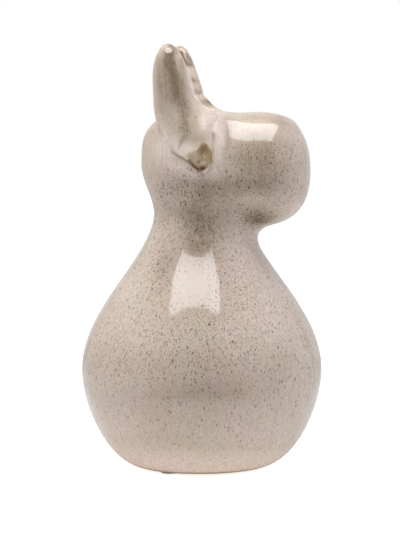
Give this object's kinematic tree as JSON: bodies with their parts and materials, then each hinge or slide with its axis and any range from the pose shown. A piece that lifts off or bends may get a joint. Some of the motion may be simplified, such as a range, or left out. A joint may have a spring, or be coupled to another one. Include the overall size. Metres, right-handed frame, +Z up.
{
  "type": "reindeer figurine",
  "caption": "Glazed stoneware reindeer ornament: hollow pear-shaped body, large blunt head, rounded stub antlers and small cupped ears, standing on felt pads.",
  "frame": {"origin": "centre of the foot on the plane that the felt pads rest on", "axes": "+Z up the body's axis, +X the way the animal faces, +Y to the animal's left"},
  "size_m": [0.101, 0.101, 0.177],
  "materials": {
    "glaze": "glossy speckled glaze",
    "pooled_glaze": "glossy, thick olive glaze",
    "slip": "bare fired clay",
    "felt": "felt"
  },
  "bodies": {
    "root": {"body_shell": "glaze", "head_shell": "glaze", "neck_slip": "slip", "right_antler": "glaze", "left_antler": "glaze", "antler_slip": "slip", "right_ear": "pooled_glaze", "left_ear": "pooled_glaze", "ear_slip": "slip", "felt_pads": "felt"}
  },
  "joints": []
}
